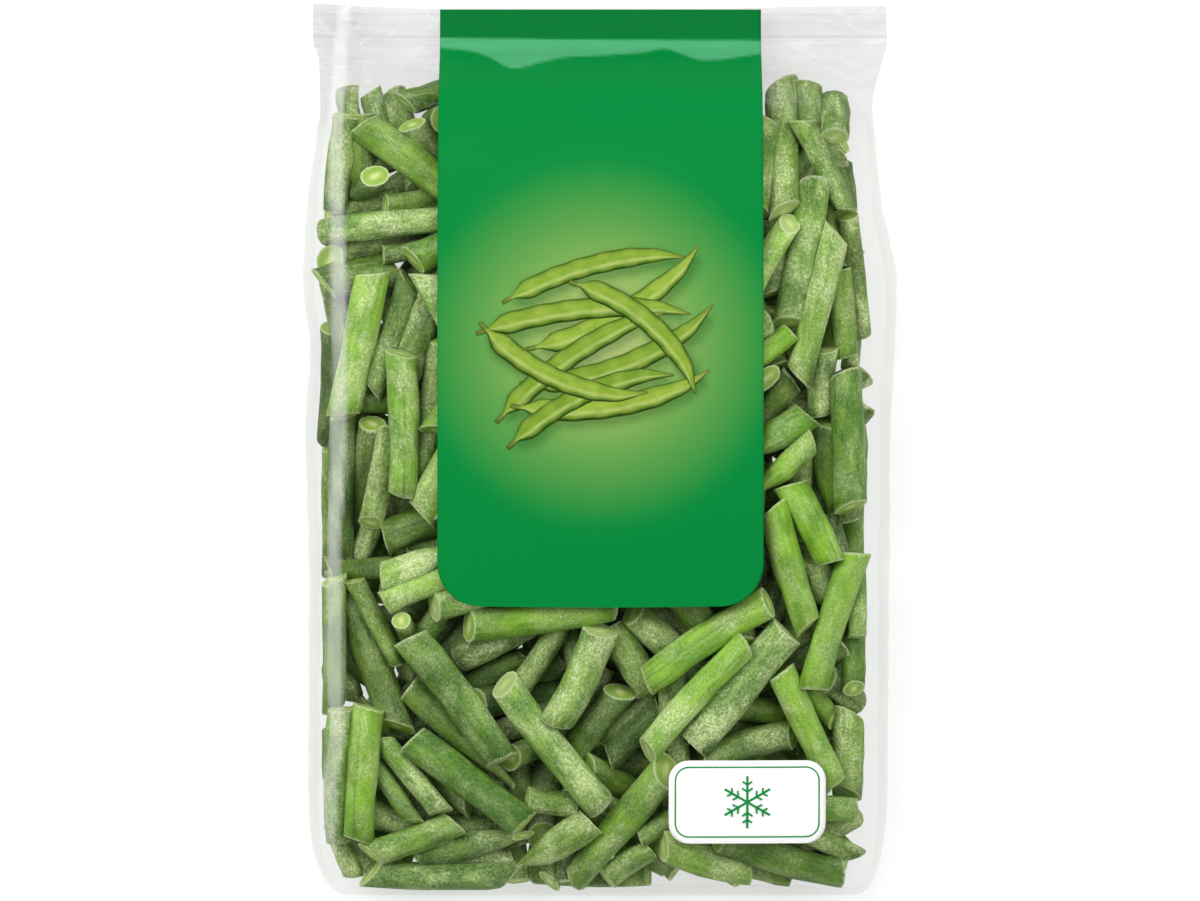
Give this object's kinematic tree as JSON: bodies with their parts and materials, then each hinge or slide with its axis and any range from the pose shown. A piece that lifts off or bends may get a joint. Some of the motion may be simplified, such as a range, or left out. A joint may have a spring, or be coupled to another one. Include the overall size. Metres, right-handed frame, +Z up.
{
  "type": "bag of frozen cut green beans",
  "caption": "Clear film bag filled with frozen cut green beans, lying on its back, with a flat header seal at one end and a printed green panel on its front.",
  "frame": {"origin": "middle of the underside of the bag, on the flat spot that it rests on", "axes": "+X across the bag to the picture's right, +Y along the bag towards the header seal, +Z up through the printed front"},
  "size_m": [0.177, 0.267, 0.0421],
  "materials": {
    "clear_film": "thin clear film",
    "frozen_bean_front": "frosted green bean",
    "frozen_bean_back": "frosted green bean",
    "print": "green print on film",
    "white": "white print on film"
  },
  "bodies": {
    "root": {"bag_film": "clear_film", "beans_front": "frozen_bean_front", "beans_back": "frozen_bean_back", "printed_panel": "print", "white_patch": "white"}
  },
  "joints": []
}
